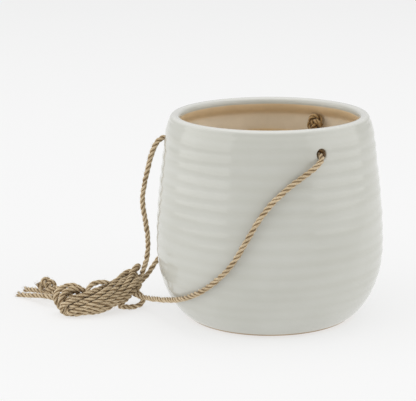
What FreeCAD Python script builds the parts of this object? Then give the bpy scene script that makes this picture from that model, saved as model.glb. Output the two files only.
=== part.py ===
import FreeCAD, Part
import math
import os

import Sketcher
from FreeCAD import Placement, Rotation, Vector

# A ribbed stoneware planter that hangs from three jute ropes. Millimetres, +Z up.
# The origin is the centre of the pot's foot, on the surface that it stands on.

os.makedirs("parts", exist_ok=True)
doc = FreeCAD.newDocument("HangingPlanter")

# ---------------------------------------------------------------- driving dimensions

sheet = doc.addObject("Spreadsheet::Sheet", "Dimensions")
DIMENSIONS = {
    "pot_height": 162.2,
    "belly_radius": 90,
    "belly_height": 58,
    "tuck_depth": 38,  # the wall below the belly is a quarter ellipse this wide
    "tuck_span": 61,  # and this tall
    "taper_slope": 0.16,  # above the belly the wall eases into this slope
    "taper_ease": 8,
    "wall_thickness": 6.5,
    "floor_thickness": 9,
    "foot_radius": 63.5,
    "foot_bevel": 1.5,
    "foot_recess_radius": 54,
    "foot_recess_depth": 2,
    "ring_start": 20,
    "ring_pitch": 9.4,
    "ring_count": 14,
    "ring_radius": 26,  # the rounding of one throwing ring across its pitch
    "lip_radius": 4.1,
    "lip_centre": 74.3,
    "lip_root_height": 149,  # the lip hangs over the inner wall down to here
    "lip_root_thickness": 6,
    "hole_diameter": 8,
    "hole_height": 144,
    "hole_count": 3,
    "hole_turn": -2,
    "rope_diameter": 4.2,
    "rope_rest": 1.2,  # how far the rope lies below the middle of its hole
    "knot_diameter": 11.6,
    "knot_length": 9,
    "knot_face": 76,  # radius of the stopper knots' outer faces, just inside the wall
    "rope_bend": 84.8,  # radius at which the ropes turn down, just outside the wall
    "knot_round": 2.6,
    "end_knot_diameter": 12.2,
    "end_knot_length": 18,
}
for line, (alias, value) in enumerate(DIMENSIONS.items(), start=1):
    sheet.set(f"A{line}", alias)
    sheet.set(f"B{line}", str(value))
    sheet.setAlias(f"B{line}", alias)
doc.recompute()


def size(alias):
    return float(sheet.get(alias))


def cell(alias):
    return f"Dimensions.{alias}"


# ---------------------------------------------------------------- the pot


def wall_radius(height):
    """Radius of the smooth outer wall: a quarter ellipse below the belly, an easing taper above it."""
    rise = height - size("belly_height")
    if rise < 0:
        inside = 1 - (rise / size("tuck_span")) ** 2
        return size("belly_radius") - size("tuck_depth") * (1 - math.sqrt(inside))
    eased = math.hypot(size("taper_ease"), size("taper_slope") * rise)
    return size("belly_radius") - eased + size("taper_ease")


def wall_expression(height, inset="0"):
    """The same radius as an expression on the sheet, for a height given as an expression."""
    rise = f"(({height}) - {cell('belly_height')})"
    below = f"{cell('tuck_depth')} * (1 - sqrt(1 - ({rise} / {cell('tuck_span')}) ^ 2))"
    above = (
        f"sqrt({cell('taper_ease')} ^ 2 + ({cell('taper_slope')} * {rise}) ^ 2)"
        f" - {cell('taper_ease')}"
    )
    return f"{cell('belly_radius')} - ({rise} < 0 ? {below} : {above}) - ({inset})"


class Profile:
    """A closed outline in a sketch. Each corner is held by expressions for its radius and its height."""

    def __init__(self, sketch):
        self.sketch = sketch
        self.corners = []
        self.bends = []

    def corner(self, radius, height, radius_expression=None, height_expression=None, bulge=0.0):
        """Adds a corner. bulge is how far the edge that leaves it bows to its right, in millimetres."""
        place = Vector(radius, height, 0)
        self.corners.append((place, radius_expression, height_expression))
        self.bends.append(bulge)

    def edge(self, start, end, bulge):
        if not bulge:
            return Part.LineSegment(start, end)
        along = end - start
        across = Vector(along.y, -along.x, 0).normalize()
        return Part.Arc(start, (start + end) * 0.5 + across * bulge, end)

    def end_at(self, edge, place):
        """Which end of a sketch edge, 1 or 2, lies at a corner."""
        near = self.sketch.getPoint(edge, 1).distanceToPoint(place)
        return 1 if near < 1e-4 else 2

    def hold(self, kind, edge, end, value, expression):
        """Fixes one coordinate of an edge's end, on the axis itself where the value is nothing."""
        if abs(value) < 1e-9:
            axis = -2 if kind == "DistanceX" else -1
            self.sketch.addConstraint(Sketcher.Constraint("PointOnObject", edge, end, axis))
            return
        number = self.sketch.addConstraint(Sketcher.Constraint(kind, -1, 1, edge, end, value))
        if expression:
            self.sketch.setExpression(f"Constraints[{number}]", expression)

    def close(self):
        places = [corner[0] for corner in self.corners]
        count = len(places)
        edges = [
            self.sketch.addGeometry(self.edge(places[i], places[(i + 1) % count], self.bends[i]))
            for i in range(count)
        ]
        for i, (place, radius_expression, height_expression) in enumerate(self.corners):
            before = edges[i - 1]
            after = edges[i]
            end_before = self.end_at(before, place)
            end_after = self.end_at(after, place)
            self.sketch.addConstraint(
                Sketcher.Constraint("Coincident", before, end_before, after, end_after)
            )
            self.hold("DistanceX", after, end_after, place.x, radius_expression)
            self.hold("DistanceY", after, end_after, place.y, height_expression)
        for edge, bulge in zip(edges, self.bends):
            if bulge:
                radius = self.sketch.Geometry[edge].Radius
                self.sketch.addConstraint(Sketcher.Constraint("Radius", edge, radius))


def origin_plane(body, role):
    return next(plane for plane in body.Origin.OriginFeatures if plane.Role == role)


def sketch_on(body, role, name):
    sketch = body.newObject("Sketcher::SketchObject", name)
    sketch.AttachmentSupport = [(origin_plane(body, role), "")]
    sketch.MapMode = "FlatFace"
    return sketch


def bow(chord_start, chord_end, radius):
    """How far an arc of this radius bows from the chord between two places."""
    half = (chord_end - chord_start).Length / 2
    return radius - math.sqrt(radius**2 - half**2)


def add_outer_wall(profile):
    """The foot's bevel, the plain curve above it, and one shallow arc for each throwing ring."""
    bevel = size("foot_bevel")
    profile.corner(size("foot_radius"), 0, cell("foot_radius"))
    start = Vector(wall_radius(bevel), bevel, 0)
    first_ring = Vector(wall_radius(size("ring_start")), size("ring_start"), 0)
    middle = (bevel + size("ring_start")) / 2
    plain_bow = (wall_radius(middle) - (start.x + first_ring.x) / 2) * 0.8
    profile.corner(
        start.x, start.y, wall_expression(cell("foot_bevel")), cell("foot_bevel"), plain_bow
    )
    for ring in range(int(size("ring_count")) + 1):
        height = size("ring_start") + ring * size("ring_pitch")
        place = Vector(wall_radius(height), height, 0)
        upper = Vector(wall_radius(height + size("ring_pitch")), height + size("ring_pitch"), 0)
        formula = f"{cell('ring_start')} + {ring} * {cell('ring_pitch')}"
        bulge = bow(place, upper, size("ring_radius"))
        if ring == int(size("ring_count")):
            bulge *= 0.5
        profile.corner(place.x, place.y, wall_expression(formula), formula, bulge)


def add_lip(profile):
    """A rolled lip of two quarter arcs, thicker than the wall, which it overhangs inside."""
    radius = size("lip_radius")
    shoulder = size("pot_height") - radius
    shoulder_formula = f"{cell('pot_height')} - {cell('lip_radius')}"
    quarter = radius * (1 - math.cos(math.radians(45)))
    outer_formula = f"{cell('lip_centre')} + {cell('lip_radius')}"
    inner_formula = f"{cell('lip_centre')} - {cell('lip_radius')}"
    centre = size("lip_centre")
    profile.corner(centre + radius, shoulder, outer_formula, shoulder_formula, quarter)
    profile.corner(centre, size("pot_height"), cell("lip_centre"), cell("pot_height"), quarter)
    root_height = size("lip_root_height")
    inner = Vector(centre - radius, shoulder, 0)
    root = Vector(wall_radius(root_height) - size("lip_root_thickness"), root_height, 0)
    lean = math.atan2(root.x - inner.x, inner.y - root.y)
    overhang = (root - inner).Length / 2 * math.tan(lean / 2)
    profile.corner(inner.x, inner.y, inner_formula, shoulder_formula, overhang)
    profile.corner(
        root.x,
        root.y,
        wall_expression(cell("lip_root_height"), cell("lip_root_thickness")),
        cell("lip_root_height"),
        -0.3,
    )


def add_inside(profile):
    """The inner wall follows the outer one, and turns into a flat floor."""
    for height, bulge in ((112, -1.2), (72, -1.7), (40, -1.5)):
        radius = wall_radius(height) - size("wall_thickness")
        profile.corner(
            radius, height, wall_expression(str(height), cell("wall_thickness")), None, bulge
        )
    corner_height = size("floor_thickness") + 9
    corner_radius = wall_radius(corner_height) - size("wall_thickness") - 2
    profile.corner(
        corner_radius,
        corner_height,
        wall_expression(f"{cell('floor_thickness')} + 9", f"{cell('wall_thickness')} + 2"),
        f"{cell('floor_thickness')} + 9",
        -4,
    )
    profile.corner(corner_radius - 16, size("floor_thickness"), None, cell("floor_thickness"))
    profile.corner(0, size("floor_thickness"), None, cell("floor_thickness"))


def add_foot_recess(profile):
    """The hollow under the floor, which leaves a ring for the pot to stand on."""
    depth = size("foot_recess_depth")
    profile.corner(0, depth, None, cell("foot_recess_depth"))
    profile.corner(
        size("foot_recess_radius") - depth,
        depth,
        f"{cell('foot_recess_radius')} - {cell('foot_recess_depth')}",
        cell("foot_recess_depth"),
    )
    profile.corner(size("foot_recess_radius"), 0, cell("foot_recess_radius"))


def make_pot():
    pot = doc.addObject("PartDesign::Body", "Pot")
    pot.Label = "pot"
    outline = sketch_on(pot, "XZ_Plane", "PotOutline")
    profile = Profile(outline)
    add_outer_wall(profile)
    add_lip(profile)
    add_inside(profile)
    add_foot_recess(profile)
    profile.close()
    turned = pot.newObject("PartDesign::Revolution", "TurnedPot")
    turned.Profile = outline
    turned.ReferenceAxis = (outline, ["V_Axis"])
    turned.Angle = 360
    doc.recompute()

    hole_sketch = sketch_on(pot, "YZ_Plane", "RopeHoleSketch")
    circle = hole_sketch.addGeometry(
        Part.Circle(Vector(0, size("hole_height"), 0), Vector(0, 0, 1), size("hole_diameter") / 2)
    )
    hole_sketch.addConstraint(Sketcher.Constraint("PointOnObject", circle, 3, -2))
    height = hole_sketch.addConstraint(
        Sketcher.Constraint("DistanceY", -1, 1, circle, 3, size("hole_height"))
    )
    hole_sketch.setExpression(f"Constraints[{height}]", cell("hole_height"))
    diameter = hole_sketch.addConstraint(
        Sketcher.Constraint("Diameter", circle, size("hole_diameter"))
    )
    hole_sketch.setExpression(f"Constraints[{diameter}]", cell("hole_diameter"))
    hole = pot.newObject("PartDesign::Pocket", "RopeHole")
    hole.Profile = hole_sketch
    hole.Type = "Length"
    hole.setExpression("Length", f"{cell('belly_radius')} + 10")
    pattern = pot.newObject("PartDesign::PolarPattern", "RopeHoles")
    pattern.Originals = [hole]
    pattern.Axis = (origin_plane(pot, "Z_Axis"), [""])
    pattern.Angle = 360
    pattern.setExpression("Occurrences", cell("hole_count"))
    pot.Tip = pattern
    pot.Placement = Placement(Vector(0, 0, 0), Rotation(Vector(0, 0, 1), size("hole_turn")))
    doc.recompute()
    drilled = turned.Shape.Volume - pattern.Shape.Volume
    print(f"pot: the three holes take {drilled:.0f} cubic millimetres")
    return pot


# ---------------------------------------------------------------- the ropes


def hole_bearing(number):
    """Direction of a rope hole from the pot's axis, in degrees. Hole 0 is the left one."""
    return 180 + size("hole_turn") + number * 360 / size("hole_count")


def around(bearing, radius, height):
    angle = math.radians(bearing)
    return Vector(radius * math.cos(angle), radius * math.sin(angle), height)


ROPE_HEIGHT = size("hole_height") - size("rope_rest")
LEFT, FRONT, BACK = (hole_bearing(number) for number in range(3))

# Each rope's free stretch, from the face of its stopper knot to the hank. The first two points
# take it straight out through its hole.
ROUTES = {
    "rope_front": [
        around(FRONT, size("knot_face"), ROPE_HEIGHT),
        around(FRONT, size("rope_bend"), ROPE_HEIGHT),
        Vector(35.2, -81.8, 136.9),
        Vector(26, -84.2, 130.6),
        Vector(11, -88.3, 120),
        Vector(-4.5, -90.8, 104.5),
        Vector(-16, -91.9, 85),
        Vector(-25, -90.6, 68),
        Vector(-36.6, -86.4, 53),
        Vector(-51, -77.2, 39.5),
        Vector(-65, -62.8, 29.5),
        Vector(-77.5, -39, 21),
        Vector(-90.5, -16, 14.5),
        Vector(-103, 4.5, 9.8),
        Vector(-112, 9, 13),
    ],
    "rope_left": [
        around(LEFT, size("knot_face"), ROPE_HEIGHT),
        around(LEFT, size("rope_bend"), ROPE_HEIGHT),
        Vector(-91, 3.2, 135.6),
        Vector(-95, 4, 123),
        Vector(-99, 5.5, 107),
        Vector(-102.3, 7, 90),
        Vector(-99.6, 9, 72),
        Vector(-97.8, 11.5, 54.5),
        Vector(-99.6, 14, 38.5),
        Vector(-104.4, 17, 25.5),
        Vector(-109.5, 20, 18.5),
    ],
    "rope_back": [
        around(BACK, size("knot_face"), ROPE_HEIGHT),
        around(BACK, size("rope_bend"), ROPE_HEIGHT),
        Vector(41.2, 79.3, 136.2),
        Vector(30.8, 82.8, 129),
        Vector(15.4, 88, 118),
        Vector(0, 91.2, 105),
        Vector(-14.5, 92, 92),
        Vector(-29, 89.3, 79),
        Vector(-44.2, 83.4, 67.5),
        Vector(-58.2, 74.4, 58),
        Vector(-71, 62, 50),
        Vector(-82.5, 47.5, 43),
        Vector(-91.8, 35, 34.5),
        Vector(-98.8, 29.5, 24),
        Vector(-104.8, 26.5, 17.5),
        Vector(-111, 23, 17.5),
    ],
    "tail_front": [
        Vector(-165, 0, 10),
        Vector(-177, 9, 9.6),
        Vector(-190.5, 22, 6.2),
        Vector(-201.5, 31.5, 3),
        Vector(-209.5, 37.5, 2.1),
    ],
    "tail_left": [
        Vector(-160, 1, 8),
        Vector(-171.5, 14, 7),
        Vector(-185, 27, 5.4),
        Vector(-198, 40.5, 3.2),
        Vector(-207, 48.5, 2.1),
    ],
    "tail_back": [
        Vector(-157, 0, 14),
        Vector(-161.5, 10.5, 17),
        Vector(-167.5, 18.8, 16.4),
        Vector(-175, 24.5, 14.8),
    ],
}


def rounded_path(name, points):
    """Straight runs joined by tangent arcs, each as large as its two runs allow."""
    edges = []
    radii = []
    start = points[0]
    for before, corner, after in zip(points, points[1:], points[2:]):
        arriving = corner - before
        leaving = after - corner
        turn = arriving.getAngle(leaving)
        cut = 0.45 * min(arriving.Length, leaving.Length)
        radii.append(cut / math.tan(turn / 2))
        arriving.normalize()
        leaving.normalize()
        arc_start = corner - arriving * cut
        arc_end = corner + leaving * cut
        towards = leaving - arriving
        towards.normalize()
        gap = radii[-1] * (1 / math.cos(turn / 2) - 1)
        edges.append(Part.LineSegment(start, arc_start).toShape())
        edges.append(Part.Arc(arc_start, corner + towards * gap, arc_end).toShape())
        start = arc_end
    edges.append(Part.LineSegment(start, points[-1]).toShape())
    wire = Part.Wire(edges)
    print(f"{name}: {wire.Length:.1f} mm, radii", *(f"{radius:.0f}" for radius in radii))
    return wire


def make_rope(name, points):
    """A round rope swept along its route."""
    path = doc.addObject("Part::Feature", name + "_route")
    path.Shape = rounded_path(name, points)
    section = doc.addObject("Part::Circle", name + "_section")
    section.setExpression("Radius", f"{cell('rope_diameter')} / 2")
    direction = points[1] - points[0]
    section.Placement = Placement(points[0], Rotation(Vector(0, 0, 1), direction))
    rope = doc.addObject("Part::Sweep", name)
    rope.Label = name
    rope.Sections = [section]
    edges = [f"Edge{number}" for number in range(1, len(path.Shape.Edges) + 1)]
    rope.Spine = (path, edges)
    rope.Solid = True
    rope.Frenet = False
    doc.recompute()
    expected = path.Shape.Length * math.pi * size("rope_diameter") ** 2 / 4
    print(f"  volume over section times length: {rope.Shape.Volume / expected:.4f}")
    return rope


# ---------------------------------------------------------------- knots and hank


def make_knot(name, face, inward, diameter, length):
    """A knot's outer shape: a short barrel whose flat outer end meets the rope."""
    barrel = doc.addObject("Part::Cylinder", name + "_barrel")
    barrel.setExpression("Radius", f"{cell(diameter)} / 2")
    barrel.setExpression("Height", cell(length))
    barrel.Placement = Placement(face, Rotation(Vector(0, 0, 1), inward))
    knot = doc.addObject("Part::Fillet", name)
    knot.Label = name
    knot.Base = barrel
    doc.recompute()
    rounding = size("knot_round")
    knot.Edges = [
        (number, rounding, rounding)
        for number, edge in enumerate(barrel.Shape.Edges, start=1)
        if isinstance(edge.Curve, Part.Circle)
    ]
    doc.recompute()
    return knot


# The hank lies along these places on the surface, each with the hank's radius there. Its right end
# turns back and is lifted a little by the ropes that come down to it.
HANK_SECTIONS = [
    (Vector(-172.5, -8.5, 9.5), 4.5),
    (Vector(-168.5, -9, 10.3), 9),
    (Vector(-160, -9, 11.3), 11),
    (Vector(-149, -9.5, 11.4), 11),
    (Vector(-138, -8, 12.2), 11.6),
    (Vector(-127, -2, 14.2), 12.2),
    (Vector(-117, 9, 18), 12.4),
    (Vector(-109.5, 17.5, 21.5), 10),
    (Vector(-106, 21.5, 23), 5),
]
HANK_SEAM = Vector(1, -2, 0)  # the side of the hank on which every section starts, so none twists


def make_hank():
    """One closed solid of the hank's outer shape, lofted through round sections."""
    places = [place for place, radius in HANK_SECTIONS]
    sections = []
    for number, (place, radius) in enumerate(HANK_SECTIONS):
        before = places[max(number - 1, 0)]
        after = places[min(number + 1, len(places) - 1)]
        section = doc.addObject("Part::Circle", f"hank_section_{number}")
        section.Radius = radius
        turned = Rotation(Vector(0, 0, 0), HANK_SEAM, after - before, "ZYX")
        section.Placement = Placement(place, turned)
        sections.append(section)
    hank = doc.addObject("Part::Loft", "rope_hank")
    hank.Label = "rope_hank"
    hank.Sections = sections
    hank.Solid = True
    hank.Ruled = False
    doc.recompute()
    return hank


# ---------------------------------------------------------------- the whole object

pieces = [make_pot()]
for name, points in ROUTES.items():
    pieces.append(make_rope(name, points))
for name, bearing in (("knot_left", LEFT), ("knot_front", FRONT), ("knot_back", BACK)):
    face = around(bearing, size("knot_face"), ROPE_HEIGHT)
    inward = around(bearing, -1, 0)
    pieces.append(make_knot(name, face, inward, "knot_diameter", "knot_length"))
tail = ROUTES["tail_back"]
pieces.append(
    make_knot("end_knot", tail[-1], tail[-1] - tail[-2], "end_knot_diameter", "end_knot_length")
)
pieces.append(make_hank())
doc.recompute()

for item in doc.Objects:
    if "Invalid" in item.State or "Error" in item.State:
        raise RuntimeError(f"{item.Name} did not compute: {item.State}")
for piece in pieces:
    if piece.Shape.isNull() or not piece.Shape.isValid():
        raise RuntimeError(f"{piece.Label} has no valid shape")
for piece in pieces:
    box = piece.Shape.optimalBoundingBox(True)
    print(
        f"{piece.Label}: {len(piece.Shape.Solids)} solid, {piece.Shape.Volume / 1000:.2f} cm3,"
        f" z {box.ZMin:.2f} to {box.ZMax:.2f}"
    )
    piece.Shape.exportStep(f"parts/{piece.Label}.step")
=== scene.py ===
"""A ribbed stoneware hanging planter with three jute ropes gathered in a hank beside it."""

import math

import bpy
import numpy as np
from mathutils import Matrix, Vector


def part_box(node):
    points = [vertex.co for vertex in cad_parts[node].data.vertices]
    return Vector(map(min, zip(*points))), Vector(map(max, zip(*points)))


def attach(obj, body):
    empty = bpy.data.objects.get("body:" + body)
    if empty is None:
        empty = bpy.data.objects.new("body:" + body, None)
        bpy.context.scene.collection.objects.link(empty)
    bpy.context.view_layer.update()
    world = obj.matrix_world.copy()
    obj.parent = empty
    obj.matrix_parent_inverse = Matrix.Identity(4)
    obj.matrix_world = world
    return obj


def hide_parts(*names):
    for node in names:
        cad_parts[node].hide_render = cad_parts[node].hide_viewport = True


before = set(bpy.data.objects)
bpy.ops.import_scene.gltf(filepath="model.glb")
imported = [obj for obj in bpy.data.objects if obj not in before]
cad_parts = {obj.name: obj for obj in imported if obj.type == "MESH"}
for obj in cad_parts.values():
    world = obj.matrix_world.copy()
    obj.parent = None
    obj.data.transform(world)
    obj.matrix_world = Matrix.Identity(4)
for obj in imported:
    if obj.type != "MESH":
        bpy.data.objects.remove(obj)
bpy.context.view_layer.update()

MM = 0.001
UP = np.array([0.0, 0.0, 1.0])

# ------------ sizes, in millimetres

ROPE_D = 4.2
ROPE_R = ROPE_D / 2
# Radii from the pot's axis: the stopper knots' faces, the hole's outer mouth and each rope's first bend.
KNOT_FACE = 76.0
ROPE_BEND = 84.8
ROPE_HEIGHT = 142.8
HOLE_HEIGHT = 144.0
HOLE_RADIUS = 4.0
# The holes' bearings round the pot's axis, in degrees.
LEFT, FRONT, BACK = 178.0, 298.0, 58.0

# ------------ objects and camera


def add_object(name, data):
    """A new object in the scene."""
    made = bpy.data.objects.new(name, data)
    bpy.context.scene.collection.objects.link(made)
    return made


CAMERA_PLACE = (0.0, -1.130, 0.3655)
CAMERA_DROP = 13.63
CAMERA_LENS = 126.8
CAMERA_SHIFT = -0.1483


def make_camera():
    """A long lens that looks down at the pot, with the pot to the right of the picture's middle."""
    camera = add_object("camera", bpy.data.cameras.new("camera"))
    camera.location = CAMERA_PLACE
    camera.rotation_euler = (math.radians(90 - CAMERA_DROP), 0.0, 0.0)
    camera.data.sensor_width = 36.0
    camera.data.lens = CAMERA_LENS
    camera.data.shift_x = CAMERA_SHIFT
    camera.data.clip_end = 50.0
    bpy.context.scene.camera = camera


make_camera()

# ------------ rope routes


def around(bearing, radius, height):
    """A place round the pot's axis."""
    angle = math.radians(bearing)
    return (radius * math.cos(angle), radius * math.sin(angle), height)


# The free stretch of each rope, from its stopper knot to the hank, and its tail beyond the hank.
ROUTES = {
    "rope_front": [
        around(FRONT, KNOT_FACE, ROPE_HEIGHT),
        around(FRONT, ROPE_BEND, ROPE_HEIGHT),
        (35.2, -81.8, 136.9),
        (26, -84.2, 130.6),
        (11, -88.3, 120),
        (-4.5, -90.8, 104.5),
        (-16, -91.9, 85),
        (-25, -90.6, 68),
        (-36.6, -86.4, 53),
        (-51, -77.2, 39.5),
        (-65, -62.8, 29.5),
        (-77.5, -39, 21),
        (-90.5, -16, 14.5),
        (-103, 4.5, 9.8),
        (-112, 9, 13),
    ],
    "rope_left": [
        around(LEFT, KNOT_FACE, ROPE_HEIGHT),
        around(LEFT, ROPE_BEND, ROPE_HEIGHT),
        (-91, 3.2, 135.6),
        (-95, 4, 123),
        (-99, 5.5, 107),
        (-102.3, 7, 90),
        (-99.6, 9, 72),
        (-97.8, 11.5, 54.5),
        (-99.6, 14, 38.5),
        (-104.4, 17, 25.5),
        (-109.5, 20, 18.5),
    ],
    "rope_back": [
        around(BACK, KNOT_FACE, ROPE_HEIGHT),
        around(BACK, ROPE_BEND, ROPE_HEIGHT),
        (41.2, 79.3, 136.2),
        (30.8, 82.8, 129),
        (15.4, 88, 118),
        (0, 91.2, 105),
        (-14.5, 92, 92),
        (-29, 89.3, 79),
        (-44.2, 83.4, 67.5),
        (-58.2, 74.4, 58),
        (-71, 62, 50),
        (-82.5, 47.5, 43),
        (-91.8, 35, 34.5),
        (-98.8, 29.5, 24),
        (-104.8, 26.5, 17.5),
        (-111, 23, 17.5),
    ],
}
TAILS = {
    "rope_front": [(-177, 9, 9.6), (-190.5, 22, 6.2), (-201.5, 31.5, 3), (-209.5, 37.5, 2.1)],
    "rope_left": [(-171.5, 15, 8), (-185, 31, 6.6), (-198, 44.5, 4), (-206, 51, 2.4)],
    "rope_back": [(-163, 10, 10), (-168.5, 15.5, 12.6), (-175, 21, 12.9)],
}

# ------------ the hank

# The hank's axis, from its left end to its right one.
HANK_AXIS = np.array(
    [
        (-159.5, -13.5, 6.6),
        (-152.5, -13.5, 8.6),
        (-144, -12.5, 10.2),
        (-135, -9, 11.8),
        (-126, -1, 14),
        (-117, 9, 17.4),
        (-109.5, 17, 21),
    ],
    float,
)
HANK_REACH = np.concatenate([[0.0], np.cumsum(np.linalg.norm(np.diff(HANK_AXIS, axis=0), axis=1))])
HANK_LENGTH = HANK_REACH[-1]
# Where along the hank each pass has its control points, as shares of its length.
STATIONS = (0.12, 0.37, 0.63, 0.88)
# How far the outer and the inner passes lie from the axis, and half of the turn that they make round it.
RING, CORE = 8.4, 3.4
HALF_TWIST = 75
# How much thicker or thinner the hank is at shares of its length.
SPREAD_AT = [0.0, 0.3, 0.6, 0.8, 1.0]
SPREAD = [0.72, 0.98, 1.04, 0.92, 0.7]
# The axis's direction at a place is taken over so far on each side of it.
AXIS_SPAN = 6
UNEVENNESS = 0.3
# How strongly the settling hank is drawn in, and how far from the axis that begins.
GRIP, GRIP_RADIUS = 0.04, 6.4

# Each rope's passes along the hank: how far each lies from the axis, and its side of the axis halfway
# along, in degrees from the back over the top. The first pass of each rope runs leftward, and so does
# the last, which ends at a side of its own.
PASSES = {
    "rope_front": [(RING, 240), (RING, 120), (CORE, 216), (RING, 270), (CORE, 288)],
    "rope_left": [(RING, 150), (RING, 30), (RING, 90), (CORE, 144), (RING, 210), (RING, 60), (RING, 330)],
    "rope_back": [(CORE, 72), (RING, 180), (CORE, 0), (RING, 300), (RING, 360)],
}
LAST_SIDES = {"rope_front": 300, "rope_left": 330, "rope_back": 370}
# How far along from the left end the passes of the short fold on top turn back.
SHORT_PASSES = {("rope_left", 2): 0.5, ("rope_left", 3): 0.5}
# Folds that stand out of the hank: below its right end, at its top right and on top of it.
FOLDS = {
    ("rope_front", 3): [
        (-122.9, -4, 5.5),
        (-116.9, 1, 2.7),
        (-109.8, 2, 2.3),
        (-104.5, 6, 3.2),
        (-102.6, 5, 8.1),
        (-107.1, 10, 10.8),
    ],
    ("rope_left", 1): [(-110.5, 17, 25), (-108.5, 19.5, 31), (-107, 24.5, 30.5), (-109, 25, 24)],
    ("rope_left", 2): [
        (-131, -3, 24.5),
        (-139, -5, 25.5),
        (-145.5, -8.5, 22),
        (-146, -10, 16.5),
        (-138, -9, 16.5),
    ],
}
# At the left end every rope curls once round behind the hank before its tail leaves.
CURL_TURNS = (285, 238, 192, 146, 100, 54, 8, -42, -92)
CURL_DEPTHS = (-3, -5.5, -7.5, -7.5, -5.5, -3, 1.5, 6, 8.5)
CURLS = {
    "rope_front": ((-161.0, 0.0, 12.3), 11.3),
    "rope_left": ((-157.0, -3.5, 11.2), 10.8),
    "rope_back": ((-158.5, 1.5, 11.0), 6.6),
}


def on_axis(reach):
    """The place on the hank's axis so far from its left end."""
    return np.array([np.interp(reach, HANK_REACH, HANK_AXIS[:, k]) for k in range(3)])


def hank_place(along, distance, side):
    """A place in the hank: how far along its axis, how far from the axis and on which side."""
    reach = np.clip(along, 0.0, HANK_LENGTH)
    here = on_axis(reach)
    low = on_axis(max(reach - AXIS_SPAN, 0.0))
    high = on_axis(min(reach + AXIS_SPAN, HANK_LENGTH))
    along_axis = (high - low) / np.linalg.norm(high - low)
    across = np.cross(UP, along_axis)
    across /= np.linalg.norm(across)
    upward = np.cross(along_axis, across)
    spread = np.interp(reach / HANK_LENGTH, SPREAD_AT, SPREAD)
    turn = math.radians(side)
    out = across * math.cos(turn) + upward * math.sin(turn)
    return here + along_axis * (along - reach) + out * distance * spread


def pass_sides(name, number):
    """The sides of the axis that a pass lies on at the hank's right and left ends."""
    middle = PASSES[name][number][1]
    last = number == len(PASSES[name]) - 1
    return middle - HALF_TWIST, LAST_SIDES[name] if last else middle + HALF_TWIST


def hank_turns(name, random):
    """One rope's folds, from where it enters on the right to its tail on the left.

    Returns their control points and which of them lie in the gathered bundle.
    """
    passes = PASSES[name]
    points = []
    gathered = []
    for number, (distance, _) in enumerate(passes):
        leftward = number % 2 == 0
        last = number == len(passes) - 1
        right, left = pass_sides(name, number)
        least = SHORT_PASSES.get((name, number), 0.3 if last else 0.0)
        for share in STATIONS[::-1] if leftward else STATIONS:
            if share >= least:
                side = left + (right - left) * share
                gathered.append(len(points))
                place = hank_place(share * HANK_LENGTH, distance, side)
                points.append(place + random.normal(0.0, UNEVENNESS, 3))
        if last:
            break
        if (name, number) in FOLDS:
            points.extend(np.array(place, float) for place in FOLDS[(name, number)])
            continue
        next_right, next_left = pass_sides(name, number + 1)
        reach = random.uniform(0.5, 2.5)
        end = -reach if leftward else HANK_LENGTH + reach
        gathered += [len(points), len(points) + 1]
        points.append(hank_place(end, distance, left if leftward else right))
        points.append(hank_place(end, passes[number + 1][0], next_left if leftward else next_right))
    centre, radius = CURLS[name]
    for turn, depth in zip(CURL_TURNS, CURL_DEPTHS):
        angle = math.radians(turn)
        way = np.array([math.cos(angle) * radius, depth, math.sin(angle) * radius])
        points.append(np.array(centre) + way)
    return points, gathered


def spread_matrix(count, shares=(0.0, 0.25, 0.5, 0.75)):
    """Weights that read points off a smooth line from its control points."""
    rows = []
    for first in range(count - 2):
        for t in shares:
            weights = np.zeros(count)
            weights[first] = 0.5 * (1 - t) ** 2
            weights[first + 1] = 0.5 + t - t * t
            weights[first + 2] = 0.5 * t * t
            rows.append(weights)
    return np.array(rows)


def gather(line, members):
    """Draws the bundle's outer places in toward its axis, as a hand's grip does."""
    share = np.linspace(0.0, HANK_LENGTH, 60)
    axis = np.stack([np.interp(share, HANK_REACH, HANK_AXIS[:, k]) for k in range(3)], 1)
    gap = line[members][:, None] - axis[None]
    nearest = np.argmin(np.linalg.norm(gap, axis=2), axis=1)
    out = gap[np.arange(len(members)), nearest]
    distance = np.linalg.norm(out, axis=1)[:, None]
    line[members] -= out * GRIP * np.clip(1.0 - GRIP_RADIUS / np.maximum(distance, 1e-6), 0.0, 1.0)


def settle(lines, free, bundles, rounds=260, ungripped=60, clearance=ROPE_D):
    """Moves the folds apart until no two stretches share a place, as real rope lies."""
    matrices = [spread_matrix(len(line)) for line in lines]
    start = [line.copy() for line in lines]
    owners = np.concatenate([np.full(len(m), k) for k, m in enumerate(matrices)])
    order = np.concatenate([np.arange(len(m)) for m in matrices])
    apart = (owners[:, None] != owners[None, :]) | (np.abs(order[:, None] - order[None, :]) > 7)
    upper = np.triu(apart, 1)
    offsets = np.cumsum([0] + [len(m) for m in matrices])
    for turn in range(rounds + ungripped):
        seen = np.concatenate([m @ line for m, line in zip(matrices, lines)])
        first, second = np.nonzero(upper & (np.abs(seen[:, None, 0] - seen[None, :, 0]) < clearance))
        gap = seen[first] - seen[second]
        distance = np.linalg.norm(gap, axis=1)
        close = distance < clearance
        first, second, gap, distance = first[close], second[close], gap[close], distance[close]
        push = gap / np.maximum(distance, 1e-6)[:, None] * ((clearance - distance) * 0.5)[:, None]
        moves = np.zeros_like(seen)
        np.add.at(moves, first, push)
        np.add.at(moves, second, -push)
        moves[:, 2] += np.maximum(ROPE_R - seen[:, 2], 0.0)
        for k, (m, line) in enumerate(zip(matrices, lines)):
            pull = m.T @ moves[offsets[k] : offsets[k + 1]] / np.maximum(m.sum(0), 1e-6)[:, None]
            line += np.where(free[k][:, None], 0.9 * pull + 0.006 * (start[k] - line), 0.0)
            if turn < rounds:
                gather(line, bundles[k])
    return lines


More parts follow.
